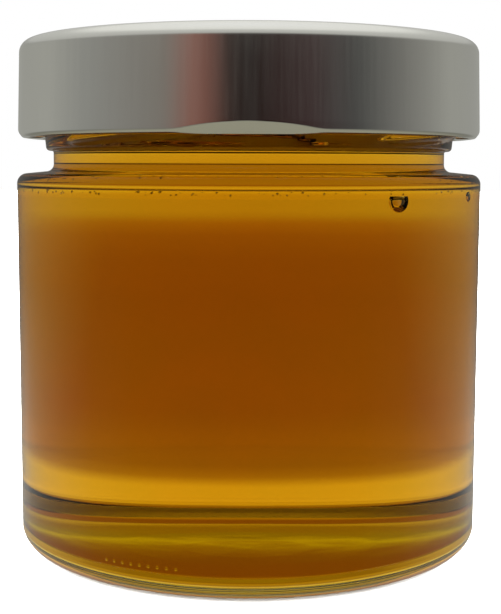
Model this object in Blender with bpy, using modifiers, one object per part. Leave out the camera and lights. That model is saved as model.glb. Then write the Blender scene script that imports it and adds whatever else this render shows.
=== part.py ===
"""A low round honey jar: clear moulded glass, a deep silver twist-off lid and the honey that fills it.

Metres, +Z up. The origin is the middle of the ring that the jar stands on, and the jar's axis is Z.
Azimuths are in degrees, measured from the front (-Y) towards the right (+X).
"""
import math

import bmesh
import bpy

MM = 0.001

# The whole jar
BODY_RADIUS = 37.0 * MM
TOTAL_HEIGHT = 80.2 * MM
GAP = 0.3 * MM
TURN_STEPS = 56
SHARP_ANGLE = math.radians(40)
ARC_FLATNESS = 0.06 * MM
MERGE = 0.01 * MM

# The glass body
WALL = 2.3 * MM
INNER_HEEL_RADIUS = 5.0 * MM
FLOOR_EDGE = 2.6 * MM
FLOOR_CROWN = 0.5 * MM
SHOULDER_HEIGHT = 59.9 * MM
SHOULDER_FALL = 0.3 * MM
SHOULDER_CORNER = 1.6 * MM
CEILING_HEIGHT = 57.5 * MM
CEILING_CORNER = 2.2 * MM
CEILING_LIP = 1.4 * MM

# The base: an oval heel with a rounded lower edge, a gentle slope down to the standing ring, and a shallow punt
HEEL_WIDTH, HEEL_HEIGHT = 6.5 * MM, 4.0 * MM
HEEL_TURNS_IN = 52.0
HEEL_EDGE_ROUND = 0.5 * MM
UNDERSIDE_SLOPE = 8.0
UNDERSIDE_RISE = 0.8 * MM
STANDING_RING = 1.2 * MM
PUNT_STEP = 1.0 * MM
PUNT_STEP_RISE = 0.65 * MM
PUNT_RISE = 0.75 * MM

# The neck and the finish that the lid screws to
NECK_RADIUS = 31.25 * MM
NECK_WALL = 2.05 * MM
NECK_FILLET = 1.2 * MM
BEAD_REACH = 1.2 * MM
BEAD_LOW, BEAD_HIGH = 63.15 * MM, 65.3 * MM
BEAD_ROUND, BEAD_FILLET = 0.9 * MM, 0.3 * MM
RIM_HEIGHT = 78.8 * MM

# Four thread lugs, which rise towards the right
LUG_COUNT = 4
THREAD_START = -55.5
THREAD_SPAN = 85.0
THREAD_STEP_DEGREES = 5.0
THREAD_LOW_EDGE = 63.35 * MM
THREAD_RISE_PER_DEGREE = 0.0357 * MM
THREAD_STOP_AT, THREAD_STOP_WIDTH = 44.5, 6.0
THREAD_STOP_RISE = 1.3 * MM
THREAD_RADIUS = 1.0 * MM
THREAD_RUN_RADIUS = 32.2 * MM
THREAD_TAPER_DEGREES = 8.0
THREAD_END_SIZE = 0.35

# The lid
LID_TOP_RADIUS, LID_FOOT_RADIUS = 36.37 * MM, 36.7 * MM
LID_CORNER = 2.0 * MM
LID_SHEET = 0.45 * MM
LID_EDGE = 65.1 * MM
CURL_RADIUS = 0.85 * MM
CROWN_WIDTH = 2.2 * MM
PANEL_SLOPE_WIDTH = 1.4 * MM
PANEL_DROP = 0.6 * MM
LID_LUG_HALF_ANGLE = 14.0
LID_LUG_DEPTH = 2.0 * MM
LID_LUG_FLATTENING = 0.5
LID_LUG_TOP = 66.95 * MM
LID_LUG_FULL = 66.0 * MM
LID_LUG_TILT = 0.75
LID_LUG_REACH_DEGREES = 19.2
SKIRT_ROWS = 3

# The honey
HONEY_LEVEL = 74.0 * MM
HONEY_EDGE_ROUND = 0.8 * MM


def arc(centre, radius, start, end, height=None):
    """Points of an arc in a section, from one angle to another in degrees, no flatter than ARC_FLATNESS.
    With a height it is an oval's, radius wide."""
    widest = math.degrees(2 * math.acos(1 - ARC_FLATNESS / radius))
    steps = max(2, math.ceil(abs(end - start) / widest))
    angles = [math.radians(start + (end - start) * i / steps) for i in range(steps + 1)]
    return [(centre[0] + radius * math.cos(a), centre[1] + (height or radius) * math.sin(a)) for a in angles]


def dome(edge_radius, edge_height, crown):
    """The middle of a shallow dome and a point halfway to its edge, where a parabola keeps 3/4 of its crown."""
    return [(0.0, edge_height + crown), (edge_radius / 2, edge_height + crown * 3 / 4)]


def smooth_step(t):
    """0 below 0, 1 above 1, and a soft S between."""
    t = min(max(t, 0.0), 1.0)
    return t * t * (3 - 2 * t)


def cavity(inset):
    """The inside of the glass from the middle of its floor up to the neck, drawn in by inset."""
    wall = BODY_RADIUS - WALL
    heel = (wall - INNER_HEEL_RADIUS, FLOOR_EDGE + INNER_HEEL_RADIUS)
    corner = (wall - CEILING_CORNER, CEILING_HEIGHT - CEILING_CORNER)
    neck = NECK_RADIUS - NECK_WALL
    lip = (neck + CEILING_LIP, CEILING_HEIGHT + CEILING_LIP)
    return (
        dome(heel[0], FLOOR_EDGE + inset, FLOOR_CROWN)
        + arc(heel, INNER_HEEL_RADIUS - inset, -90, 0)
        + arc(corner, CEILING_CORNER - inset, 0, 90)
        + arc(lip, CEILING_LIP + inset, 270, 180)
    )


def heel_profile():
    """The outside from the wall round the heel, over its lower edge and down a slope to the standing ring."""
    turned_in, slope = math.radians(HEEL_TURNS_IN), math.radians(90 - UNDERSIDE_SLOPE)
    end = math.atan(math.tan(turned_in) * HEEL_HEIGHT / HEEL_WIDTH)
    edge = (
        BODY_RADIUS - HEEL_WIDTH * (1 - math.cos(end)) - HEEL_EDGE_ROUND * math.cos(turned_in),
        UNDERSIDE_RISE + HEEL_EDGE_ROUND * math.sin(slope),
    )
    top = edge[1] - HEEL_EDGE_ROUND * math.sin(turned_in) + HEEL_HEIGHT * math.sin(end)
    ring = edge[0] + HEEL_EDGE_ROUND * math.cos(slope) - UNDERSIDE_RISE * math.tan(slope)
    return (
        arc((BODY_RADIUS - HEEL_WIDTH, top), HEEL_WIDTH, 0, -math.degrees(end), HEEL_HEIGHT)
        + arc(edge, HEEL_EDGE_ROUND, -HEEL_TURNS_IN, UNDERSIDE_SLOPE - 90)[1:]
        + [(ring, 0.0), (ring - STANDING_RING, 0.0)]
    )


def glass_profile():
    """The glass in section: up the inside, over the rim, down the outside and in under the base."""
    rim_round = NECK_WALL / 2
    rim = (NECK_RADIUS - rim_round, RIM_HEIGHT - rim_round)
    bead = NECK_RADIUS + BEAD_REACH
    bead_top = (bead - BEAD_ROUND, BEAD_HIGH - BEAD_ROUND)
    bead_foot = (bead - BEAD_ROUND, BEAD_LOW + BEAD_ROUND)
    shoulder = BODY_RADIUS - SHOULDER_CORNER
    corner = (shoulder, SHOULDER_HEIGHT - SHOULDER_FALL - SHOULDER_CORNER)
    heel = heel_profile()
    punt = heel[-1][0] - PUNT_STEP
    return (
        cavity(0.0)
        + arc(rim, rim_round, 180, 0)
        + arc((NECK_RADIUS + BEAD_FILLET, BEAD_HIGH + BEAD_FILLET), BEAD_FILLET, 180, 270)
        + arc(bead_top, BEAD_ROUND, 90, 0)[1:]
        + arc(bead_foot, BEAD_ROUND, 0, -90)
        + arc((NECK_RADIUS + BEAD_FILLET, BEAD_LOW - BEAD_FILLET), BEAD_FILLET, 90, 180)[1:]
        + arc((NECK_RADIUS + NECK_FILLET, SHOULDER_HEIGHT + NECK_FILLET), NECK_FILLET, 180, 270)
        + arc(corner, SHOULDER_CORNER, 85, 0)
        + heel
        + [(punt, PUNT_STEP_RISE)]
        + dome(punt, PUNT_STEP_RISE, PUNT_RISE - PUNT_STEP_RISE)[::-1]
    )


def lid_profile():
    """The lid in section: out over the top, down the skirt, round the curl and back along the inside."""
    crest = LID_TOP_RADIUS - LID_CORNER
    crown = crest - CROWN_WIDTH
    panel = crown - PANEL_SLOPE_WIDTH
    panel_height = TOTAL_HEIGHT - PANEL_DROP
    curl = (LID_FOOT_RADIUS - CURL_RADIUS, LID_EDGE + CURL_RADIUS)
    skirt_top = TOTAL_HEIGHT - LID_CORNER
    skirt = [
        (LID_FOOT_RADIUS, LID_LUG_TOP + (LID_LUG_FULL - LID_LUG_TOP) * i / SKIRT_ROWS)
        for i in range(SKIRT_ROWS)
    ]
    return (
        [(0.0, panel_height), (panel, panel_height), (crown, TOTAL_HEIGHT)]
        + arc((crest, skirt_top), LID_CORNER, 90, 0)
        + skirt
        + arc(curl, CURL_RADIUS, 0, -240)
        + [(LID_FOOT_RADIUS - LID_SHEET, LID_LUG_TOP)]
        + arc((crest, skirt_top), LID_CORNER - LID_SHEET, 0, 90)
        + [(crown, TOTAL_HEIGHT - LID_SHEET), (panel, panel_height - LID_SHEET), (0.0, panel_height - LID_SHEET)]
    )


def honey_profile():
    """The honey in section: the jar's inside less the gap, up to its level in the neck."""
    neck = NECK_RADIUS - NECK_WALL - GAP
    edge = (neck - HONEY_EDGE_ROUND, HONEY_LEVEL - HONEY_EDGE_ROUND)
    inside_up = cavity(GAP) + arc(edge, HONEY_EDGE_ROUND, 0, 90) + [(0.0, HONEY_LEVEL)]
    return inside_up[::-1]


def plain_material(name, colour, roughness, metallic=0.0, transmission=0.0, ior=1.5):
    material = bpy.data.materials.new(name)
    material.use_nodes = True
    surface = material.node_tree.nodes["Principled BSDF"]
    surface.inputs["Base Color"].default_value = (*colour, 1.0)
    surface.inputs["Roughness"].default_value = roughness
    surface.inputs["Metallic"].default_value = metallic
    surface.inputs["Transmission Weight"].default_value = transmission
    surface.inputs["IOR"].default_value = ior
    material.diffuse_color = (*colour, 1.0)
    return material


def settle(piece):
    """Replaces a piece's modifiers by the mesh that they make, shaded smooth over its round faces."""
    evaluated = piece.evaluated_get(bpy.context.evaluated_depsgraph_get())
    mesh = bpy.data.meshes.new_from_object(evaluated)
    piece.modifiers.clear()
    piece.data = mesh
    mesh.name = piece.name
    mesh.shade_smooth()
    mesh.set_sharp_from_angle(angle=SHARP_ANGLE)
    return piece


def turned(name, profile, material, collection):
    """A solid turned about Z from its section, which runs down its outer side."""
    mesh = bpy.data.meshes.new(name)
    edges = [(i, i + 1) for i in range(len(profile) - 1)]
    mesh.from_pydata([(r, 0.0, z) for r, z in profile], edges, [])
    piece = bpy.data.objects.new(name, mesh)
    collection.objects.link(piece)
    screw = piece.modifiers.new("Turn", "SCREW")
    screw.steps = screw.render_steps = TURN_STEPS
    screw.use_merge_vertices = True
    screw.merge_threshold = MERGE
    bpy.context.view_layer.update()
    settle(piece)
    piece.data.materials.clear()
    piece.data.materials.append(material)
    return piece


def weld_caps(mesh):
    """Joins the end caps of a tube made from a curve to its side."""
    shell = bmesh.new()
    shell.from_mesh(mesh)
    bmesh.ops.remove_doubles(shell, verts=shell.verts, dist=MERGE)
    bmesh.ops.recalc_face_normals(shell, faces=shell.faces)
    shell.to_mesh(mesh)
    shell.free()


def thread_lug(index, collection):
    """One thread lug: a rounded ridge along a shallow helix, with a stop where the lid's lug comes to rest."""
    curve = bpy.data.curves.new(f"thread_path_{index}", "CURVE")
    curve.dimensions = "3D"
    curve.bevel_depth = THREAD_RADIUS
    curve.bevel_resolution = 2
    curve.use_fill_caps = True
    ridge = curve.splines.new("POLY")
    ridge.points.add(round(THREAD_SPAN / THREAD_STEP_DEGREES))
    for i, point in enumerate(ridge.points):
        along = i * THREAD_STEP_DEGREES
        azimuth = math.radians(THREAD_START + index * 360 / LUG_COUNT + along)
        stop = smooth_step((along - THREAD_STOP_AT) / THREAD_STOP_WIDTH)
        height = THREAD_LOW_EDGE + THREAD_RADIUS + along * THREAD_RISE_PER_DEGREE + stop * THREAD_STOP_RISE
        point.co = (THREAD_RUN_RADIUS * math.sin(azimuth), -THREAD_RUN_RADIUS * math.cos(azimuth), height, 1.0)
        from_end = min(along, THREAD_SPAN - along)
        point.radius = THREAD_END_SIZE + (1 - THREAD_END_SIZE) * smooth_step(from_end / THREAD_TAPER_DEGREES)
    drawn = bpy.data.objects.new(curve.name, curve)
    collection.objects.link(drawn)
    bpy.context.view_layer.update()
    mesh = bpy.data.meshes.new_from_object(drawn.evaluated_get(bpy.context.evaluated_depsgraph_get()))
    weld_caps(mesh)
    lug = bpy.data.objects.new(f"thread_lug_{index}", mesh)
    lug.matrix_world = drawn.matrix_world
    lug.hide_render = True
    lug.display_type = "WIRE"
    bpy.data.objects.remove(drawn)
    collection.objects.link(lug)


def glass_jar(material, collection, cutters):
    """The jar's glass with its thread lugs moulded on."""
    glass = turned("jar_glass", glass_profile(), material, collection)
    for index in range(LUG_COUNT):
        thread_lug(index, cutters)
    union = glass.modifiers.new("Moulded lugs", "BOOLEAN")
    union.operation = "UNION"
    union.operand_type = "COLLECTION"
    union.collection = cutters
    union.solver = "EXACT"
    bpy.context.view_layer.update()
    settle(glass)
    for lug in list(cutters.objects):
        bpy.data.objects.remove(lug)
    return glass


def press_lid_lugs(lid):
    """Presses the curl at the lid's four lugs: a tilted flat outside, and inside the hook under the thread."""
    full_cut = LID_LUG_TILT * (LID_LUG_TOP - LID_EDGE)
    for vertex in lid.data.vertices:
        x, y, z = vertex.co
        radius = math.hypot(x, y)
        azimuth = math.degrees(math.atan2(x, -y))
        spacing = 360 / LUG_COUNT
        off_centre = abs((azimuth + spacing / 2) % spacing - spacing / 2)
        if off_centre >= LID_LUG_REACH_DEGREES or z >= LID_LUG_TOP:
            continue
        on_curl = z < LID_EDGE + CURL_RADIUS and radius > LID_FOOT_RADIUS - CURL_RADIUS - MERGE
        if on_curl or radius > LID_FOOT_RADIUS - LID_SHEET / 2:
            cut = full_cut * (off_centre / LID_LUG_REACH_DEGREES) ** 2 - LID_LUG_TILT * (LID_LUG_TOP - z)
            pressed = min(radius, LID_FOOT_RADIUS + cut)
        elif off_centre < LID_LUG_HALF_ANGLE:
            across = math.cos(off_centre / LID_LUG_HALF_ANGLE * math.pi / 2) ** 2
            up = 1 - smooth_step((z - LID_LUG_FULL) / (LID_LUG_TOP - LID_LUG_FULL))
            pressed = radius - LID_LUG_DEPTH * across * up
            vertex.co.z = LID_EDGE + (z - LID_EDGE) * (1 - LID_LUG_FLATTENING * across * up)
        else:
            continue
        vertex.co.x, vertex.co.y = x * pressed / radius, y * pressed / radius


def twist_off_lid(material, collection):
    """The lid, turned from its section and then pressed at its lugs."""
    lid = turned("lid", lid_profile(), material, collection)
    press_lid_lugs(lid)
    return lid


def honey_fill(material, collection):
    """The honey, from the floor of the glass up into the neck."""
    return turned("honey", honey_profile(), material, collection)


def build():
    for old in list(bpy.data.objects):
        bpy.data.objects.remove(old)
    jar = bpy.data.collections.new("honey_jar")
    cutters = bpy.data.collections.new("moulded_on")
    for collection in (jar, cutters):
        bpy.context.scene.collection.children.link(collection)
    clear_glass = plain_material("clear glass", (0.94, 0.97, 0.95), 0.02, transmission=1.0, ior=1.52)
    satin_tinplate = plain_material("satin tinplate", (0.58, 0.58, 0.56), 0.32, metallic=1.0)
    amber_honey = plain_material("amber honey", (0.48, 0.18, 0.004), 0.05, transmission=0.6, ior=1.49)
    glass_jar(clear_glass, jar, cutters)
    twist_off_lid(satin_tinplate, jar)
    honey_fill(amber_honey, jar)


build()
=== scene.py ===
"""A low round jar of clear honey with a deep silver twist-off lid, dressed for its picture.

The moulded glass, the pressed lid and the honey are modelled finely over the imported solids. Metres, +Z up,
the side that the picture shows faces -Y. Azimuths are in degrees from the front (-Y) towards the right (+X).
"""
import math
import random

import bmesh
import bpy
from mathutils import Matrix, Vector


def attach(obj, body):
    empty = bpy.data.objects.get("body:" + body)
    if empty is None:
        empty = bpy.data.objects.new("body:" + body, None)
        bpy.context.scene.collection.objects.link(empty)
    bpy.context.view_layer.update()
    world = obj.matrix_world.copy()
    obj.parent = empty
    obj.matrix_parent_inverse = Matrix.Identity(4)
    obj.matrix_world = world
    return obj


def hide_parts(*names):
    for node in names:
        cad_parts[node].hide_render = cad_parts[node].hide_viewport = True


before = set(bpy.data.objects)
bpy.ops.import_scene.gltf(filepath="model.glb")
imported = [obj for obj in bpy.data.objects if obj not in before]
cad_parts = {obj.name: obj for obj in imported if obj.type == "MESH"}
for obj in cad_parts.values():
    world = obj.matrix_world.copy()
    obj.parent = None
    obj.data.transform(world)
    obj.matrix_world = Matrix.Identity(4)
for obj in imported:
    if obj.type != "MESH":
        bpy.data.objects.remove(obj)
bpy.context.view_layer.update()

MM = 0.001

# The jar's driving sizes. They are those of its solids, apart from the bead and the lid's lugs, whose finer
# form is given here alone.
BODY_RADIUS = 37.0 * MM
TOTAL_HEIGHT = 80.2 * MM
WALL = 2.3 * MM
HEEL_WIDTH, HEEL_HEIGHT = 6.5 * MM, 4.0 * MM
HEEL_TURNS_IN = 52.0
HEEL_EDGE_ROUND = 0.5 * MM
UNDERSIDE_SLOPE = 8.0
UNDERSIDE_RISE = 0.8 * MM
INNER_HEEL_RADIUS = 5.0 * MM
STANDING_RING = 1.2 * MM
PUNT_STEP = 1.0 * MM
PUNT_STEP_RISE = 0.65 * MM
PUNT_RISE = 0.75 * MM
FLOOR_EDGE = 2.6 * MM
FLOOR_CROWN = 0.5 * MM
SHOULDER_HEIGHT = 59.9 * MM
SHOULDER_FALL = 0.3 * MM
SHOULDER_CORNER = 1.6 * MM
SHOULDER_TURNS = 85.0
CEILING_HEIGHT = 57.5 * MM
CEILING_CORNER = 2.2 * MM
CEILING_LIP = 1.4 * MM
NECK_RADIUS = 31.25 * MM
NECK_WALL = 2.05 * MM
NECK_FILLET = 1.2 * MM
BEAD_REACH = 1.16 * MM
BEAD_LOW, BEAD_HIGH = 63.15 * MM, 65.9 * MM
BEAD_LEANS_OUT = 6.0
BEAD_FOOT_ROUND, BEAD_TOP_ROUND, BEAD_FILLET = 0.6 * MM, 0.3 * MM, 0.3 * MM
RIM_HEIGHT = 78.8 * MM

LUG_COUNT = 4
THREAD_START = -55.5
THREAD_SPAN = 85.0
THREAD_LOW_EDGE = 63.35 * MM
THREAD_RISE_PER_DEGREE = 0.0357 * MM
THREAD_STOP_AT, THREAD_STOP_WIDTH = 44.5, 6.0
THREAD_STOP_RISE = 1.3 * MM
THREAD_RADIUS = 1.0 * MM
THREAD_RUN_RADIUS = 32.2 * MM
THREAD_TAPER_DEGREES = 8.0
THREAD_END_SIZE = 0.35
THREAD_RINGS_TOP = 70.2 * MM

LID_TOP_RADIUS, LID_FOOT_RADIUS = 36.37 * MM, 36.7 * MM
LID_CORNER = 2.0 * MM
LID_SHEET = 0.45 * MM
LID_EDGE = 65.1 * MM
CURL_RADIUS = 0.85 * MM
CURL_TURNS = 240.0
CROWN_WIDTH = 2.2 * MM
PANEL_SLOPE_WIDTH = 1.4 * MM
PANEL_DROP = 0.6 * MM
LID_LUG_HALF_ANGLE = 14.0
LID_LUG_DEPTH = 2.0 * MM
LID_LUG_FLATTENING = 0.5
LID_LUG_TOP = 66.75 * MM
LID_LUG_FULL = 66.0 * MM
LID_LUG_TILT = 0.75
LID_LUG_REACH_DEGREES = 19.2

HONEY_LEVEL = 74.0 * MM
HONEY_EDGE_ROUND = 0.8 * MM
HONEY_INTO_WALL = 0.12 * MM

# How finely the pieces are turned
TURN_STEPS = 224
ARC_DEGREES = 6.0
NECK_RINGS, BEAD_RINGS, SKIRT_RINGS, LUG_RINGS = 30, 9, 6, 9
SHARP_FROM = 40
HOLD = 0.2 * MM
WELD = 0.002 * MM
# How far a face's direction must lean to count as looking in, or down
LEAN_COUNTS, LACQUER_LEAN, UNDERSIDE_LOOKS_DOWN = 0.05, 0.3, 0.7

# The camera, solved from the jar's outline
FRAME_WIDTH, FRAME_HEIGHT = 501, 614
CAMERA_DISTANCE = 208.4 * MM
CAMERA_HEIGHT = 60.76 * MM
CAMERA_PITCH = math.radians(6.274)
CAMERA_ROLL = math.radians(0.172)
CAMERA_SIDE = 0.33 * MM
FOCAL_PIXELS = 1278.4
SENSOR = 36.0

# Glass and honey. Over a metre the honey keeps exp(-density * (1 - pass)) of the red, the green and the blue.
GLASS_BENDS, HONEY_BENDS = 1.515, 1.503
HONEY_PASSES = (0.952, 0.815, 0.05, 1.0)
HONEY_DENSITY = 80.0
STIPPLED_FROM = 30.5 * MM
STIPPLE_ROUGHNESS = 0.55

# The row of raised dots low on the heel, by azimuth
HEEL_DOTS_FROM_TO = (-34.0, -14.5)
HEEL_DOT_COUNT = 9
HEEL_DOT_HEIGHT = 5.0 * MM
HEEL_DOT_REACH = (0.2, 0.02)
HEEL_DOT_RAISED = 0.12 * MM

# Two round bubbles in the honey, by azimuth, radius and height, the large one flat under the shoulder,
# and the ranges, in degrees and mm, that the fine ones are strewn over
LARGE_BUBBLE_AT, LARGE_BUBBLE_RADIUS = (37.7, 33.0 * MM, 56.0 * MM), 1.55 * MM
LARGE_BUBBLE_FLAT_TOP, LARGE_BUBBLE_DEPTH = 0.42, 1.1
SMALL_BUBBLE_AT, SMALL_BUBBLE_RADIUS = (67.0, 33.6 * MM, 56.3 * MM), 0.75 * MM
SPECK_COUNT, SPECK_SEED = 70, 7
SPECK_AZIMUTHS, SPECK_RADII, SPECK_HEIGHTS = (-80, 80), (31.0, 33.2), (56.8, 57.3)
SPECK_SIZES = (0.06, 0.2)
SPECK_LARGEST = 0.5 * MM

# The studio's light that glass and honey pass, by height, in degrees above the horizon
SKY_RANGE = (-40.0, 90.0)
PASSED_LIGHT = [
    (-40.0, "d4c5a4"), (-0.5, "dac8a6"), (0.3, "dfcdad"), (1.2, "ecdfbc"), (7.0, "ecdfbc"), (9.0, "ad9359"),
    (13.2, "c4ad59"), (14.9, "9b8127"), (15.6, "a08b27"), (15.9, "a09327"), (16.2, "bcb530"),
    (16.45, "cec530"), (16.6, "cec430"), (16.8, "ad9927"), (17.0, "a08419"), (17.3, "997619"),
    (17.7, "906919"), (18.4, "8e6119"), (20.5, "906119"), (21.5, "a07c19"), (24.0, "ad9027"),
    (30.0, "baa030"), (36.0, "b69b30"), (51.0, "dac459"), (62.0, "e7d77c"), (90.0, "ecdf95"),
]
# and the painted light and shade that the floor shows through them, by its distance from the jar's middle, in
# mm, straight behind it and to its sides
FLOOR_HALF_WIDTH = 3.0
FLOOR_RANGE = (10.0, 4000.0)
# Painted shade under the jar, and the painted pool of light round it
FLOOR_SHADED, FLOOR_BRIGHT = "5a3208", "f7ede7"
PASSED_FLOOR = [
    (10.0, FLOOR_SHADED), (35.0, FLOOR_SHADED), (38.0, FLOOR_BRIGHT), (55.0, FLOOR_BRIGHT), (63.0, "c0a48c"),
    (72.0, "ac8a70"), (90.0, "a88266"), (130.0, "a0745a"), (400.0, "9b6d50"), (650.0, "9e7054"),
    (950.0, "a87c62"), (1200.0, "b89274"), (1400.0, "c8b6aa"), (1600.0, "d1c2b5"), (4000.0, "d1c2b5"),
]
PASSED_FLOOR_SIDES = [
    (10.0, FLOOR_SHADED), (35.0, FLOOR_SHADED), (38.0, FLOOR_BRIGHT), (55.0, FLOOR_BRIGHT), (63.0, "d0c0b0"),
    (72.0, "c4b09c"), (130.0, "bca896"), (400.0, "b8a493"), (950.0, "bcaa9c"), (1200.0, "c8bcb0"),
    (1400.0, "cbbcad"), (1600.0, "d1c2b5"), (4000.0, "d1c2b5"),
]
FLOOR_SIDES_FROM_TO = (20, 65)
# How far a ray falls on its way from the camera to the floor, in mm, tells how it left the jar: straight
# through the walls it falls by the camera's height. The floor's painted glow is lighter for those that fall
# by less or by more.
FLOOR_LOW_FALL = (42.0, 28.0)
FLOOR_STEEP_FALL = (66.0, 82.0)
FLOOR_STEEP_FROM = (60.0, 85.0)
FLOOR_STEEP = "b69e86"
FLOOR_LIGHT = 14.0

# What the lid mirrors: level with it by the angle around, 0 behind it, and above and below that by height
MIRRORED_AROUND = [
    (-180.0, "180a07"), (-170.0, "2c1f1b"), (-163.0, "6e473e"), (-154.0, "8f6055"), (-140.0, "827d77"),
    (-98.0, "969692"), (-67.0, "acaca6"), (-30.0, "a3a39d"), (0.0, "a3a39d"), (35.0, "a1a19c"),
    (68.0, "a5a59f"), (98.0, "82817d"), (128.0, "4a4a49"), (150.0, "3e2e2e"), (168.0, "281210"),
    (180.0, "180a07"),
]
MIRRORED_BY_HEIGHT = [
    (-40.0, "a09e8c"), (-12.0, "74746e"), (8.0, "7c7c78"), (17.0, "c0c0bc"), (36.0, "d0d0cc"),
    (48.0, "f6f6f2"), (90.0, "ffffff"),
]
OFF_LEVEL_FROM_TO = (10, 17)
# What the glass mirrors by the angle from behind the jar, darkest towards the camera, and less of it higher
# up
GLASS_MIRRORS = [
    (0.0, "989288"), (36.0, "c8c4bc"), (70.0, "aca69c"), (100.0, "5a564e"), (125.0, "2c2820"),
    (180.0, "1e1a14"),
]
GLASS_MIRRORS_LESS_FROM_TO, GLASS_MIRRORS_LEAST = (-5, -13), 0.35


def linear(code):
    """Turns an sRGB hex code such as "b97800" into linear red, green, blue and alpha."""
    parts = [int(code[i : i + 2], 16) / 255 for i in (0, 2, 4)]
    return tuple(c / 12.92 if c <= 0.04045 else ((c + 0.055) / 1.055) ** 2.4 for c in parts) + (1.0,)


def spread(pairs, start, end):
    """Colour stops from values between start and end, each with its sRGB hex code."""
    return [((value - start) / (end - start), linear(code)) for value, code in pairs]


def by_distance(pairs):
    """Colour stops over the logarithm of a distance on the floor."""
    span = math.log10(FLOOR_RANGE[1] / FLOOR_RANGE[0])
    return [(math.log10(away / FLOOR_RANGE[0]) / span, linear(code)) for away, code in pairs]


def add(tree, kind, settings=None, links=None):
    """Adds a node with its settings, by socket or attribute name, and its links into named sockets."""
    node = tree.nodes.new(kind)
    for key, value in (settings or {}).items():
        if key == "stops":
            band = node.color_ramp.elements
            band.remove(band[1])
            band[0].position, band[0].color = value[0]
            for position, colour in value[1:]:
                band.new(position).color = colour
        elif isinstance(key, str) and hasattr(node, key):
            setattr(node, key, value)
        else:
            node.inputs[key].default_value = value
    for key, socket in (links or {}).items():
        tree.links.new(socket, node.inputs[key])
    return node


def material(name):
    """A material, its tree, its output node and the coordinates on the piece."""
    made = bpy.data.materials.new(name)
    made.use_nodes = True
    made.node_tree.nodes.clear()
    out = add(made.node_tree, "ShaderNodeOutputMaterial")
    return made, made.node_tree, out, add(made.node_tree, "ShaderNodeTexCoord").outputs["Object"]


def smooth_step(t):
    """0 below 0, 1 above 1, and a soft S between."""
    t = min(max(t, 0.0), 1.0)
    return t * t * (3 - 2 * t)


def arc(centre, radius, start, end, height=None):
    """Points of an arc in a section, from one angle to another in degrees, both ends included.
    With a height it is an oval's, radius wide."""
    steps = max(3, math.ceil(abs(end - start) / ARC_DEGREES))
    angles = [math.radians(start + (end - start) * i / steps) for i in range(steps + 1)]
    return [(centre[0] + radius * math.cos(a), centre[1] + (height or radius) * math.sin(a)) for a in angles]


def held(section):
    """A section with a ring close to each end of every long straight, so that it shades as straight."""
    kept = [section[0]]
    for (r0, z0), (r1, z1) in zip(section, section[1:]):
        length = math.hypot(r1 - r0, z1 - z0)
        if length > 5 * HOLD:
            share = HOLD / length
            kept += [(r0 + (r1 - r0) * s, z0 + (z1 - z0) * s) for s in (share, 1 - share)]
        kept.append((r1, z1))
    return kept


def dome(edge_radius, edge_height, crown):
    """A shallow dome from its middle out to three quarters of its radius."""
    reaches = [i * edge_radius / 4 for i in range(4)]
    return [(r, edge_height + crown * (1 - (r / edge_radius) ** 2)) for r in reaches]


def line(start, end, steps):
    """Points between two ends of a section, the ends left out."""
    return [
        (start[0] + (end[0] - start[0]) * i / steps, start[1] + (end[1] - start[1]) * i / steps)
        for i in range(1, steps)
    ]


def cavity(inset):
    """The inside of the glass from the middle of its floor up to the neck, drawn in by inset."""
    wall = BODY_RADIUS - WALL
    heel = (wall - INNER_HEEL_RADIUS, FLOOR_EDGE + INNER_HEEL_RADIUS)
    corner = (wall - CEILING_CORNER, CEILING_HEIGHT - CEILING_CORNER)
    neck = NECK_RADIUS - NECK_WALL
    lip = (neck + CEILING_LIP, CEILING_HEIGHT + CEILING_LIP)
    return (
        dome(heel[0], FLOOR_EDGE + inset, FLOOR_CROWN)
        + arc(heel, INNER_HEEL_RADIUS - inset, -90, 0)
        + arc(corner, CEILING_CORNER - inset, 0, 90)
        + arc(lip, CEILING_LIP + inset, 270, 180)
    )


def bead_centres():
    """The middles of the two rounds of the bead, whose face leans out from its foot to its top."""
    lean = math.radians(BEAD_LEANS_OUT)
    foot = (NECK_RADIUS + BEAD_REACH - BEAD_FOOT_ROUND * math.cos(lean), BEAD_LOW + BEAD_FOOT_ROUND)
    rise = (BEAD_HIGH - BEAD_TOP_ROUND * (1 + math.sin(lean))) - (foot[1] - BEAD_FOOT_ROUND * math.sin(lean))
    top_face = NECK_RADIUS + BEAD_REACH + rise * math.tan(lean)
    return foot, (top_face - BEAD_TOP_ROUND * math.cos(lean), BEAD_HIGH - BEAD_TOP_ROUND)


def heel_section():
    """The outside from the wall round the heel, over its lower edge and down a slope to the standing ring."""
    turned_in, slope = math.radians(HEEL_TURNS_IN), math.radians(90 - UNDERSIDE_SLOPE)
    end = math.atan(math.tan(turned_in) * HEEL_HEIGHT / HEEL_WIDTH)
    edge = (
        BODY_RADIUS - HEEL_WIDTH * (1 - math.cos(end)) - HEEL_EDGE_ROUND * math.cos(turned_in),
        UNDERSIDE_RISE + HEEL_EDGE_ROUND * math.sin(slope),
    )
    top = edge[1] - HEEL_EDGE_ROUND * math.sin(turned_in) + HEEL_HEIGHT * math.sin(end)
    ring = edge[0] + HEEL_EDGE_ROUND * math.cos(slope) - UNDERSIDE_RISE * math.tan(slope)
    return (
        arc((BODY_RADIUS - HEEL_WIDTH, top), HEEL_WIDTH, 0, -math.degrees(end), HEEL_HEIGHT)
        + arc(edge, HEEL_EDGE_ROUND, -HEEL_TURNS_IN, UNDERSIDE_SLOPE - 90)[1:]
        + [(ring, 0.0), (ring - STANDING_RING, 0.0)]
    )


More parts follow.
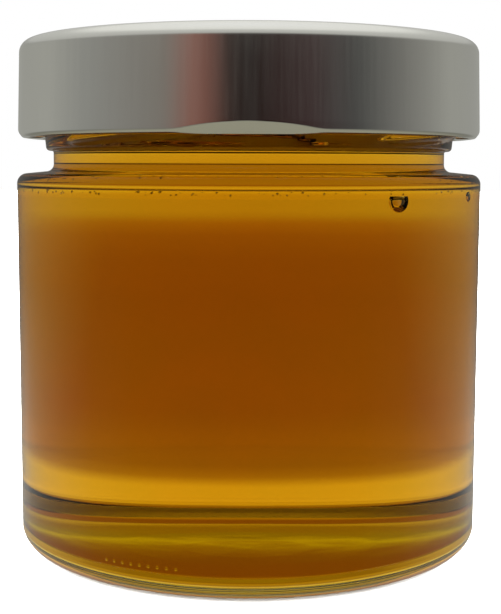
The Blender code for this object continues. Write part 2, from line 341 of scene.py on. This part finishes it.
def glass_section():
    """The glass in section: up the inside, over the rim, down the outside and in under the base."""
    rim_round = NECK_WALL / 2
    rim = (NECK_RADIUS - rim_round, RIM_HEIGHT - rim_round)
    bead_foot, bead_top = bead_centres()
    over_bead = arc(bead_top, BEAD_TOP_ROUND, 90, -BEAD_LEANS_OUT)[1:]
    under_bead = arc(bead_foot, BEAD_FOOT_ROUND, -BEAD_LEANS_OUT, -90)
    shoulder = BODY_RADIUS - SHOULDER_CORNER
    corner = (shoulder, SHOULDER_HEIGHT - SHOULDER_FALL - SHOULDER_CORNER)
    heel = heel_section()
    punt = heel[-1][0] - PUNT_STEP
    return (
        cavity(0.0)
        + arc(rim, rim_round, 180, 0)
        + [(NECK_RADIUS, THREAD_RINGS_TOP)]
        + line((NECK_RADIUS, THREAD_RINGS_TOP), (NECK_RADIUS, BEAD_HIGH + BEAD_FILLET), NECK_RINGS)
        + arc((NECK_RADIUS + BEAD_FILLET, BEAD_HIGH + BEAD_FILLET), BEAD_FILLET, 180, 270)
        + over_bead
        + line(over_bead[-1], under_bead[0], BEAD_RINGS)
        + under_bead
        + arc((NECK_RADIUS + BEAD_FILLET, BEAD_LOW - BEAD_FILLET), BEAD_FILLET, 90, 180)[1:]
        + arc((NECK_RADIUS + NECK_FILLET, SHOULDER_HEIGHT + NECK_FILLET), NECK_FILLET, 180, 270)
        + arc(corner, SHOULDER_CORNER, SHOULDER_TURNS, 0)
        + heel
        + [(punt, PUNT_STEP_RISE)]
        + dome(punt, PUNT_STEP_RISE, PUNT_RISE - PUNT_STEP_RISE)[::-1]
    )


def lid_section():
    """The lid in section: out over the top, down the skirt, round the curl and back along the inside."""
    crest = LID_TOP_RADIUS - LID_CORNER
    crown = crest - CROWN_WIDTH
    panel = crown - PANEL_SLOPE_WIDTH
    panel_height = TOTAL_HEIGHT - PANEL_DROP
    curl = (LID_FOOT_RADIUS - CURL_RADIUS, LID_EDGE + CURL_RADIUS)
    skirt_top = TOTAL_HEIGHT - LID_CORNER
    skirt_foot = (LID_FOOT_RADIUS, LID_LUG_TOP)
    curl_start = (LID_FOOT_RADIUS, curl[1])
    inside = panel_height - LID_SHEET
    return (
        [(0.0, panel_height), (panel / 2, panel_height), (panel, panel_height), (crown, TOTAL_HEIGHT)]
        + arc((crest, skirt_top), LID_CORNER, 90, 0)
        + line((LID_TOP_RADIUS, skirt_top), skirt_foot, SKIRT_RINGS)
        + [skirt_foot]
        + line(skirt_foot, curl_start, LUG_RINGS)
        + arc(curl, CURL_RADIUS, 0, -CURL_TURNS)
        + [(LID_FOOT_RADIUS - LID_SHEET, LID_LUG_TOP)]
        + arc((crest, skirt_top), LID_CORNER - LID_SHEET, 0, 90)
        + [(crown, TOTAL_HEIGHT - LID_SHEET), (panel, inside), (0.0, inside)]
    )


def honey_section():
    """The honey in section: from its level in the neck down the inside, a little into the glass."""
    neck = NECK_RADIUS - NECK_WALL + HONEY_INTO_WALL
    edge = (neck - HONEY_EDGE_ROUND, HONEY_LEVEL - HONEY_EDGE_ROUND)
    inside_up = cavity(-HONEY_INTO_WALL) + arc(edge, HONEY_EDGE_ROUND, 0, 90) + [(0.0, HONEY_LEVEL)]
    return inside_up[::-1]


def turned(section):
    """A closed shell spun about Z from a section that starts and ends on the axis."""
    shell = bmesh.new()
    points = [shell.verts.new((r, 0.0, z)) for r, z in section]
    edges = [shell.edges.new(pair) for pair in zip(points, points[1:])]
    bmesh.ops.spin(
        shell, geom=points + edges, cent=(0, 0, 0), axis=(0, 0, 1), angle=math.tau, steps=TURN_STEPS,
        use_merge=True,
    )
    bmesh.ops.remove_doubles(shell, verts=shell.verts, dist=WELD)
    bmesh.ops.dissolve_degenerate(shell, edges=shell.edges, dist=WELD)
    bmesh.ops.recalc_face_normals(shell, faces=shell.faces)
    return shell


def piece(name, shell, materials):
    """Makes a finished mesh an object with its materials, smooth over its round faces."""
    mesh = bpy.data.meshes.new(name)
    shell.to_mesh(mesh)
    shell.free()
    mesh.shade_smooth()
    mesh.set_sharp_from_angle(angle=math.radians(SHARP_FROM))
    for made in materials:
        mesh.materials.append(made)
    made = bpy.data.objects.new(name, mesh)
    bpy.context.scene.collection.objects.link(made)
    return made


def azimuth_of(point):
    """A point's azimuth, in degrees from the front."""
    return math.degrees(math.atan2(point.x, -point.y))


def off_lug(azimuth):
    """How far an azimuth is from the nearest of the lid's lugs."""
    spacing = 360 / LUG_COUNT
    return abs((azimuth + spacing / 2) % spacing - spacing / 2)


def thread_reach(azimuth, height):
    """How far out the thread lugs stand at a place on the neck, or 0 where there is none."""
    reach = 0.0
    for index in range(LUG_COUNT):
        along = (azimuth - THREAD_START - index * 360 / LUG_COUNT) % 360
        if along > THREAD_SPAN:
            continue
        stop = smooth_step((along - THREAD_STOP_AT) / THREAD_STOP_WIDTH)
        middle = THREAD_LOW_EDGE + THREAD_RADIUS + along * THREAD_RISE_PER_DEGREE + stop * THREAD_STOP_RISE
        from_end = min(along, THREAD_SPAN - along)
        size = THREAD_END_SIZE + (1 - THREAD_END_SIZE) * smooth_step(from_end / THREAD_TAPER_DEGREES)
        away = abs(height - middle) / (THREAD_RADIUS * size)
        if away < 1:
            reach = max(reach, THREAD_RUN_RADIUS + THREAD_RADIUS * size * math.sqrt(1 - away * away))
    return reach


def raise_thread(shell):
    """Draws the neck's outside out to the thread lugs."""
    low, high = NECK_RADIUS - WELD, THREAD_RUN_RADIUS + THREAD_RADIUS
    for point in shell.verts:
        radius = math.hypot(point.co.x, point.co.y)
        if low <= radius <= high and point.co.z > THREAD_LOW_EDGE:
            reach = thread_reach(azimuth_of(point.co), point.co.z)
            if reach > radius:
                point.co.x *= reach / radius
                point.co.y *= reach / radius


def press_lugs(shell):
    """Presses the curl at the lid's four lugs: a tilted flat outside, the hook under the thread inside."""
    full_cut = LID_LUG_TILT * (LID_LUG_TOP - LID_EDGE)
    for point in shell.verts:
        off_centre = off_lug(azimuth_of(point.co))
        if off_centre >= LID_LUG_REACH_DEGREES or point.co.z >= LID_LUG_TOP:
            continue
        radius = math.hypot(point.co.x, point.co.y)
        on_curl = point.co.z < LID_EDGE + CURL_RADIUS and radius > LID_FOOT_RADIUS - CURL_RADIUS - WELD
        if on_curl or radius > LID_FOOT_RADIUS - LID_SHEET / 2:
            eased = full_cut * (off_centre / LID_LUG_REACH_DEGREES) ** 2
            pressed = min(radius, LID_FOOT_RADIUS + eased - LID_LUG_TILT * (LID_LUG_TOP - point.co.z))
        elif off_centre < LID_LUG_HALF_ANGLE:
            across = math.cos(off_centre / LID_LUG_HALF_ANGLE * math.pi / 2) ** 2
            up = 1 - smooth_step((point.co.z - LID_LUG_FULL) / (LID_LUG_TOP - LID_LUG_FULL))
            pressed = radius - LID_LUG_DEPTH * across * up
            point.co.z = LID_EDGE + (point.co.z - LID_EDGE) * (1 - LID_LUG_FLATTENING * across * up)
        else:
            continue
        point.co.x *= pressed / radius
        point.co.y *= pressed / radius


def place(azimuth, radius, height):
    """A point at an azimuth, in degrees from the front, a radius and a height."""
    turn = math.radians(azimuth)
    return Vector((radius * math.sin(turn), -radius * math.cos(turn), height))


def bubble(shell, centre, radius, flat_top=1.0, depth=1.0):
    """Hollows a bubble out of the honey. flat_top is where its top is cut flat, as a share of its radius."""
    made = bmesh.ops.create_icosphere(shell, subdivisions=3 if radius > SPECK_LARGEST else 1, radius=radius)
    for point in made["verts"]:
        point.co.z = min(point.co.z * depth, flat_top * radius)
        point.co += centre
    faces = {face for point in made["verts"] for face in point.link_faces}
    bmesh.ops.reverse_faces(shell, faces=list(faces))
    for face in faces:
        face.material_index = 1


def glass_faces(mesh):
    """Gives the inside faces that the honey wets the second material, and those stippled under the heel the
    third."""
    wet_top = HONEY_LEVEL - HONEY_EDGE_ROUND
    for face in mesh.polygons:
        middle = face.center
        radius = math.hypot(middle.x, middle.y)
        outward = Vector((middle.x, middle.y, 0)).normalized()
        inside = radius < BODY_RADIUS - WALL + WELD
        under_ceiling = middle.z > CEILING_HEIGHT + WELD and radius > NECK_RADIUS - WELD
        to_middle = face.normal.z if middle.z < CEILING_HEIGHT / 2 else -face.normal.z
        looks_in = face.normal.dot(outward) < -LEAN_COUNTS or to_middle > LEAN_COUNTS
        low = middle.z < UNDERSIDE_RISE + HEEL_EDGE_ROUND / 4
        if inside and looks_in and not under_ceiling and PUNT_RISE + WALL / 2 < middle.z < wet_top:
            face.material_index = 1
        elif low and face.normal.z < -UNDERSIDE_LOOKS_DOWN and radius > STIPPLED_FROM:
            face.material_index = 2


def heel_dots(tree, place_on, below):
    """The row of small raised dots that a mould leaves low on the heel, laid over another bump."""
    parts = add(tree, "ShaderNodeSeparateXYZ", links={"Vector": place_on})
    backwards = add(tree, "ShaderNodeMath", {"operation": "MULTIPLY", 1: -1.0}, {0: parts.outputs["Y"]})
    turn = add(
        tree, "ShaderNodeMath", {"operation": "ARCTAN2"},
        {0: parts.outputs["X"], 1: backwards.outputs["Value"]},
    )
    first, last = (math.radians(d) for d in HEEL_DOTS_FROM_TO)
    along = add(
        tree, "ShaderNodeMapRange",
        {"From Min": first, "From Max": last, "To Min": 0.0, "To Max": float(HEEL_DOT_COUNT), "clamp": False},
        {"Value": turn.outputs["Value"]},
    )
    within = add(tree, "ShaderNodeMath", {"operation": "PINGPONG", 1: 0.5}, {0: along.outputs["Result"]})
    aside = add(tree, "ShaderNodeMath", {"operation": "SUBTRACT", 0: 0.5}, {1: within.outputs["Value"]})
    dot_pitch = (last - first) * BODY_RADIUS / HEEL_DOT_COUNT
    up = add(
        tree, "ShaderNodeMapRange",
        {"From Min": HEEL_DOT_HEIGHT, "From Max": HEEL_DOT_HEIGHT + dot_pitch, "clamp": False},
        {"Value": parts.outputs["Z"]},
    )
    off = add(tree, "ShaderNodeCombineXYZ", links={"X": aside.outputs["Value"], "Y": up.outputs["Result"]})
    away = add(tree, "ShaderNodeVectorMath", {"operation": "LENGTH"}, {0: off.outputs["Vector"]})
    dots = add(
        tree, "ShaderNodeMapRange",
        {"From Min": HEEL_DOT_REACH[0], "From Max": HEEL_DOT_REACH[1], "interpolation_type": "SMOOTHSTEP"},
        {"Value": away.outputs["Value"]},
    )
    middle = add(
        tree, "ShaderNodeMath", {"operation": "SUBTRACT", 1: HEEL_DOT_COUNT / 2}, {0: along.outputs["Result"]}
    )
    from_middle = add(tree, "ShaderNodeMath", {"operation": "ABSOLUTE"}, {0: middle.outputs["Value"]})
    in_row = add(
        tree, "ShaderNodeMath", {"operation": "LESS_THAN", 1: HEEL_DOT_COUNT / 2},
        {0: from_middle.outputs["Value"]},
    )
    height = add(
        tree, "ShaderNodeMath", {"operation": "MULTIPLY"},
        {0: dots.outputs["Result"], 1: in_row.outputs["Value"]},
    )
    return add(
        tree, "ShaderNodeBump", {"Strength": 0.4, "Distance": HEEL_DOT_RAISED},
        {"Height": height.outputs["Value"], "Normal": below.outputs["Normal"]},
    )


def clear_glass(name, wet=False, rough=0.0):
    """Soda-lime glass, pressed and blown: clear with a faint green in its depth, its surface gently uneven.
    Where honey wets it, it bends light only by the little that it differs from honey. Under the heel it is
    stippled by the mould, which spreads the light."""
    made, tree, out, place_on = material(name)
    waves = add(
        tree, "ShaderNodeTexNoise", {"Scale": 1 / (9 * MM), "Detail": 2.0, "Roughness": 0.45},
        {"Vector": place_on},
    )
    uneven = add(
        tree, "ShaderNodeBump", {"Strength": 0.14, "Distance": 0.06 * MM}, {"Height": waves.outputs["Fac"]}
    )
    bends = GLASS_BENDS / HONEY_BENDS if wet else GLASS_BENDS
    normal = uneven if wet or rough else heel_dots(tree, place_on, uneven)
    tint = add(
        tree, "ShaderNodeValToRGB", {"stops": [(0.3, linear("f9fdfb")), (0.7, linear("fdfefd"))]},
        {"Fac": waves.outputs["Fac"]},
    )
    surface = add(
        tree, "ShaderNodeBsdfPrincipled", {"Roughness": rough, "IOR": bends, "Transmission Weight": 1.0},
        {"Base Color": tint.outputs["Color"], "Normal": normal.outputs["Normal"]},
    )
    tree.links.new(surface.outputs["BSDF"], out.inputs["Surface"])
    return made


def clear_honey():
    """Clear flower honey: an even amber liquid that takes nearly all blue and deepens with its thickness.
    The glass's wet face does the bending between the two, so the honey's own skin bends nothing."""
    made, tree, out, place_on = material("clear_honey")
    cloud = add(
        tree, "ShaderNodeTexNoise", {"Scale": 1 / (14 * MM), "Detail": 1.0}, {"Vector": place_on}
    )
    tint = add(
        tree, "ShaderNodeValToRGB", {"stops": [(0.3, linear("fffcf4")), (0.7, linear("ffffff"))]},
        {"Fac": cloud.outputs["Fac"]},
    )
    surface = add(
        tree, "ShaderNodeBsdfPrincipled", {"Roughness": 0.0, "IOR": 1.0, "Transmission Weight": 1.0},
        {"Base Color": tint.outputs["Color"]},
    )
    depth = add(tree, "ShaderNodeVolumeAbsorption", {"Color": HONEY_PASSES, "Density": HONEY_DENSITY})
    tree.links.new(surface.outputs["BSDF"], out.inputs["Surface"])
    tree.links.new(depth.outputs["Volume"], out.inputs["Volume"])
    return made


def bubble_skin():
    """The skin of an air bubble in honey: bright where it passes light and dark round its rim."""
    made, tree, out, place_on = material("bubble_skin")
    film = add(
        tree, "ShaderNodeTexNoise", {"Scale": 1 / (1.5 * MM), "Detail": 1.0}, {"Vector": place_on}
    )
    tint = add(
        tree, "ShaderNodeValToRGB", {"stops": [(0.3, linear("fffaf0")), (0.7, linear("ffffff"))]},
        {"Fac": film.outputs["Fac"]},
    )
    surface = add(
        tree, "ShaderNodeBsdfPrincipled", {"Roughness": 0.0, "IOR": HONEY_BENDS, "Transmission Weight": 1.0},
        {"Base Color": tint.outputs["Color"]},
    )
    tree.links.new(surface.outputs["BSDF"], out.inputs["Surface"])
    return made


def satin_tinplate():
    """Electrolytic tinplate with a satin finish: a soft silver whose rolling grain runs up the skirt."""
    made, tree, out, place_on = material("satin_tinplate")
    along = add(tree, "ShaderNodeMapping", {"Scale": (1.0, 1.0, 0.02)}, {"Vector": place_on})
    grain = add(
        tree, "ShaderNodeTexNoise", {"Scale": 1 / (0.7 * MM), "Detail": 3.0, "Roughness": 0.6},
        {"Vector": along.outputs["Vector"]},
    )
    smears = add(
        tree, "ShaderNodeTexNoise", {"Scale": 1 / (16 * MM), "Detail": 3.0}, {"Vector": place_on}
    )
    both = add(
        tree, "ShaderNodeMix", {"data_type": "FLOAT", "Factor": 0.45},
        {"A": grain.outputs["Fac"], "B": smears.outputs["Fac"]},
    )
    rough = add(
        tree, "ShaderNodeMapRange", {"From Min": 0.3, "From Max": 0.7, "To Min": 0.13, "To Max": 0.19},
        {"Value": both.outputs["Result"]},
    )
    silver = add(
        tree, "ShaderNodeValToRGB", {"stops": [(0.3, linear("dfdfda")), (0.7, linear("e3e3de"))]},
        {"Fac": both.outputs["Result"]},
    )
    lines = add(
        tree, "ShaderNodeBump", {"Strength": 0.1, "Distance": 0.01 * MM}, {"Height": grain.outputs["Fac"]}
    )
    surface = add(
        tree, "ShaderNodeBsdfPrincipled", {"Metallic": 1.0},
        {
            "Base Color": silver.outputs["Color"],
            "Roughness": rough.outputs["Result"],
            "Normal": lines.outputs["Normal"],
        },
    )
    tree.links.new(surface.outputs["BSDF"], out.inputs["Surface"])
    return made


def pale_lacquer():
    """The lid's inside: tinplate under a pale gold baked lacquer, half matt and a little mottled."""
    made, tree, out, place_on = material("pale_lacquer")
    mottle = add(
        tree, "ShaderNodeTexNoise", {"Scale": 1 / (2.5 * MM), "Detail": 3.0}, {"Vector": place_on}
    )
    coat = add(
        tree, "ShaderNodeValToRGB", {"stops": [(0.3, linear("f2e6c6")), (0.7, linear("f8efd4"))]},
        {"Fac": mottle.outputs["Fac"]},
    )
    surface = add(
        tree, "ShaderNodeBsdfPrincipled", {"Roughness": 0.45, "IOR": 1.5},
        {"Base Color": coat.outputs["Color"]},
    )
    tree.links.new(surface.outputs["BSDF"], out.inputs["Surface"])
    return made


def make_glass():
    shell = turned(held(glass_section()))
    raise_thread(shell)
    glasses = [
        clear_glass("clear_glass"), clear_glass("glass_wet_by_honey", wet=True),
        clear_glass("stippled_glass", rough=STIPPLE_ROUGHNESS),
    ]
    glass = piece("moulded_glass", shell, glasses)
    glass_faces(glass.data)
    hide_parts("jar_glass")
    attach(glass, "root")


def make_lid():
    shell = turned(held(lid_section()))
    press_lugs(shell)
    lid = piece("twist_off_lid", shell, [satin_tinplate(), pale_lacquer()])
    lacquer_low, lacquer_high = LID_EDGE + 2 * CURL_RADIUS, TOTAL_HEIGHT - PANEL_DROP
    for face in lid.data.polygons:
        middle = face.center
        outward = Vector((middle.x, middle.y, 0)).normalized()
        faces_in = face.normal.dot(outward) + face.normal.z < -LACQUER_LEAN
        within = math.hypot(middle.x, middle.y) < LID_FOOT_RADIUS - LID_SHEET / 2
        if faces_in and within and lacquer_low < middle.z < lacquer_high:
            face.material_index = 1
    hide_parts("lid")
    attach(lid, "root")


def make_honey():
    shell = turned(held(honey_section()))
    draw = random.Random(SPECK_SEED)
    bubble(shell, place(*LARGE_BUBBLE_AT), LARGE_BUBBLE_RADIUS, LARGE_BUBBLE_FLAT_TOP, LARGE_BUBBLE_DEPTH)
    bubble(shell, place(*SMALL_BUBBLE_AT), SMALL_BUBBLE_RADIUS)
    for _ in range(SPECK_COUNT):
        azimuth, radius = draw.uniform(*SPECK_AZIMUTHS), draw.uniform(*SPECK_RADII) * MM
        centre = place(azimuth, radius, draw.uniform(*SPECK_HEIGHTS) * MM)
        bubble(shell, centre, draw.uniform(*SPECK_SIZES) * MM)
    honey = piece("honey_fill", shell, [clear_honey(), bubble_skin()])
    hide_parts("honey")
    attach(honey, "root")


def make_camera():
    lens = bpy.data.cameras.new("camera")
    lens.sensor_width = SENSOR
    lens.lens = FOCAL_PIXELS * SENSOR / max(FRAME_WIDTH, FRAME_HEIGHT)
    camera = bpy.data.objects.new("camera", lens)
    place_at = Matrix.Translation((CAMERA_SIDE, -CAMERA_DISTANCE, CAMERA_HEIGHT))
    tilt = Matrix.Rotation(math.radians(90) - CAMERA_PITCH, 4, "X")
    camera.matrix_world = place_at @ tilt @ Matrix.Rotation(CAMERA_ROLL, 4, "Z")
    lens.clip_start = 5 * MM
    bpy.context.scene.collection.objects.link(camera)
    bpy.context.scene.camera = camera


def make_floor():
    """A plain pale floor. To rays that pass the glass and honey it glows instead with painted light and
    shade: painted shade under the jar, a painted pool of light round it and painted shade further off.
    """
    made, tree, out, place_on = material("pale_floor")
    surface = add(tree, "ShaderNodeBsdfDiffuse", {"Color": linear("f0f0ee")})
    away = add(tree, "ShaderNodeVectorMath", {"operation": "LENGTH"}, {0: place_on})
    scale = add(tree, "ShaderNodeMath", {"operation": "LOGARITHM", 1: 10.0}, {0: away.outputs["Value"]})
    nearest, furthest = (math.log10(reach * MM) for reach in FLOOR_RANGE)
    along = add(
        tree, "ShaderNodeMapRange", {"From Min": nearest, "From Max": furthest},
        {"Value": scale.outputs["Value"]},
    )
    shade = add(
        tree, "ShaderNodeValToRGB",
        {"stops": by_distance(PASSED_FLOOR)},
        {"Fac": along.outputs["Result"]},
    )
    parts = add(tree, "ShaderNodeSeparateXYZ", links={"Vector": place_on})
    across = add(tree, "ShaderNodeMath", {"operation": "ABSOLUTE"}, {0: parts.outputs["X"]})
    aside = add(
        tree, "ShaderNodeMath", {"operation": "ARCTAN2"}, {0: across.outputs["Value"], 1: parts.outputs["Y"]}
    )
    side_from, side_to = (math.radians(d) for d in FLOOR_SIDES_FROM_TO)
    side = add(
        tree, "ShaderNodeMapRange", {"From Min": side_from, "From Max": side_to},
        {"Value": aside.outputs["Value"]},
    )
    side_shade = add(
        tree, "ShaderNodeValToRGB",
        {"stops": by_distance(PASSED_FLOOR_SIDES)},
        {"Fac": along.outputs["Result"]},
    )
    mixed = add(
        tree, "ShaderNodeMix", {"data_type": "RGBA"},
        {0: side.outputs["Result"], 6: shade.outputs["Color"], 7: side_shade.outputs["Color"]},
    )
    slant = add(tree, "ShaderNodeLayerWeight", {"Blend": 0.5})
    sine = add(tree, "ShaderNodeMath", {"operation": "SUBTRACT", 0: 1.0}, {1: slant.outputs["Facing"]})
    from_camera = add(
        tree, "ShaderNodeMath", {"operation": "ADD", 1: CAMERA_DISTANCE}, {0: away.outputs["Value"]}
    )
    fall = add(
        tree, "ShaderNodeMath", {"operation": "MULTIPLY"},
        {0: sine.outputs["Value"], 1: from_camera.outputs["Value"]},
    )
    low_fall = add(
        tree, "ShaderNodeMapRange", {"From Min": FLOOR_LOW_FALL[0] * MM, "From Max": FLOOR_LOW_FALL[1] * MM},
        {"Value": fall.outputs["Value"]},
    )
    shone = add(
        tree, "ShaderNodeMix", {"data_type": "RGBA", 7: linear(FLOOR_BRIGHT)},
        {0: low_fall.outputs["Result"], 6: mixed.outputs[2]},
    )
    steep_fall = add(
        tree, "ShaderNodeMapRange",
        {"From Min": FLOOR_STEEP_FALL[0] * MM, "From Max": FLOOR_STEEP_FALL[1] * MM},
        {"Value": fall.outputs["Value"]},
    )
    beyond = add(
        tree, "ShaderNodeMapRange",
        {"From Min": math.log10(FLOOR_STEEP_FROM[0] * MM), "From Max": math.log10(FLOOR_STEEP_FROM[1] * MM)},
        {"Value": scale.outputs["Value"]},
    )
    steep_share = add(
        tree, "ShaderNodeMath", {"operation": "MULTIPLY"},
        {0: steep_fall.outputs["Result"], 1: beyond.outputs["Result"]},
    )
    lit = add(
        tree, "ShaderNodeMix", {"data_type": "RGBA", 7: linear(FLOOR_STEEP)},
        {0: steep_share.outputs["Value"], 6: shone.outputs[2]},
    )
    # The floor's painted light and shade, as a glow that only rays passing the glass see
    glow = add(tree, "ShaderNodeEmission", links={"Color": lit.outputs[2]})
    path = add(tree, "ShaderNodeLightPath")
    both = add(
        tree, "ShaderNodeMixShader",
        links={
            0: path.outputs["Is Transmission Ray"], 1: surface.outputs["BSDF"], 2: glow.outputs["Emission"],
        },
    )
    tree.links.new(both.outputs["Shader"], out.inputs["Surface"])
    shell = bmesh.new()
    bmesh.ops.create_grid(shell, x_segments=1, y_segments=1, size=FLOOR_HALF_WIDTH)
    floor = piece("floor", shell, [made])
    floor.visible_glossy = False


def make_studio():
    """The studio's light, as a sky: what the camera sees, what the honey passes and what metal mirrors."""
    world = bpy.data.worlds.new("studio")
    bpy.context.scene.world = world
    world.use_nodes = True
    tree = world.node_tree
    tree.nodes.clear()
    out = add(tree, "ShaderNodeOutputWorld")
    towards = add(tree, "ShaderNodeTexCoord")
    parts = add(tree, "ShaderNodeSeparateXYZ", links={"Vector": towards.outputs["Generated"]})
    rise = add(tree, "ShaderNodeMath", {"operation": "ARCSINE"}, {0: parts.outputs["Z"]})
    lowest, highest = (math.radians(d) for d in SKY_RANGE)
    up = add(
        tree, "ShaderNodeMapRange", {"From Min": lowest, "From Max": highest},
        {"Value": rise.outputs["Value"]},
    )
    turn = add(
        tree, "ShaderNodeMath", {"operation": "ARCTAN2"}, {0: parts.outputs["X"], 1: parts.outputs["Y"]}
    )
    around = add(
        tree, "ShaderNodeMapRange", {"From Min": -math.pi, "From Max": math.pi},
        {"Value": turn.outputs["Value"]},
    )
    passed = add(
        tree, "ShaderNodeValToRGB",
        {"stops": spread(PASSED_LIGHT, *SKY_RANGE)}, {"Fac": up.outputs["Result"]},
    )
    mirrored_up = add(
        tree, "ShaderNodeValToRGB",
        {"stops": spread(MIRRORED_BY_HEIGHT, *SKY_RANGE)}, {"Fac": up.outputs["Result"]},
    )
    mirrored_round = add(
        tree, "ShaderNodeValToRGB",
        {"stops": spread(MIRRORED_AROUND, -180, 180)}, {"Fac": around.outputs["Result"]},
    )
    off_level = add(tree, "ShaderNodeMath", {"operation": "ABSOLUTE"}, {0: rise.outputs["Value"]})
    off_from, off_to = (math.radians(d) for d in OFF_LEVEL_FROM_TO)
    above = add(
        tree, "ShaderNodeMapRange", {"From Min": off_from, "From Max": off_to},
        {"Value": off_level.outputs["Value"]},
    )
    mirrored = add(
        tree, "ShaderNodeMix", {"data_type": "RGBA"},
        {0: above.outputs["Result"], 6: mirrored_round.outputs["Color"], 7: mirrored_up.outputs["Color"]},
    )
    path = add(tree, "ShaderNodeLightPath")
    by_glass = add(
        tree, "ShaderNodeMix", {"data_type": "RGBA"},
        {0: path.outputs["Is Transmission Ray"], 6: mirrored.outputs[2], 7: passed.outputs["Color"]},
    )
    off_axis = add(tree, "ShaderNodeMath", {"operation": "ABSOLUTE"}, {0: turn.outputs["Value"]})
    off_axis_share = add(
        tree, "ShaderNodeMapRange", {"From Min": 0.0, "From Max": math.pi},
        {"Value": off_axis.outputs["Value"]},
    )
    in_glass = add(
        tree, "ShaderNodeValToRGB", {"stops": spread(GLASS_MIRRORS, 0, 180)},
        {"Fac": off_axis_share.outputs["Result"]},
    )
    less_from, less_to = (math.radians(d) for d in GLASS_MIRRORS_LESS_FROM_TO)
    lower = add(
        tree, "ShaderNodeMapRange",
        {"From Min": less_from, "From Max": less_to, "To Min": GLASS_MIRRORS_LEAST, "To Max": 1.0},
        {"Value": rise.outputs["Value"]},
    )
    glass_sees = add(
        tree, "ShaderNodeMix", {"data_type": "RGBA", "blend_type": "MULTIPLY", 0: 1.0},
        {6: in_glass.outputs["Color"], 7: lower.outputs["Result"]},
    )
    sharp = add(
        tree, "ShaderNodeMath", {"operation": "SUBTRACT", "use_clamp": True},
        {0: path.outputs["Is Singular Ray"], 1: path.outputs["Is Transmission Ray"]},
    )
    by_gloss = add(
        tree, "ShaderNodeMix", {"data_type": "RGBA"},
        {0: sharp.outputs["Value"], 6: by_glass.outputs[2], 7: glass_sees.outputs[2]},
    )
    by_floor = add(
        tree, "ShaderNodeMix", {"data_type": "RGBA", 7: (FLOOR_LIGHT, FLOOR_LIGHT, FLOOR_LIGHT, 1.0)},
        {0: path.outputs["Is Diffuse Ray"], 6: by_gloss.outputs[2]},
    )
    seen = add(
        tree, "ShaderNodeMix", {"data_type": "RGBA", 7: linear("ffffff")},
        {0: path.outputs["Is Camera Ray"], 6: by_floor.outputs[2]},
    )
    light = add(tree, "ShaderNodeBackground", links={"Color": seen.outputs[2]})
    tree.links.new(light.outputs["Background"], out.inputs["Surface"])


scene = bpy.context.scene
scene.view_settings.view_transform = "Standard"
make_camera()
make_glass()
make_honey()
make_lid()
make_floor()
make_studio()
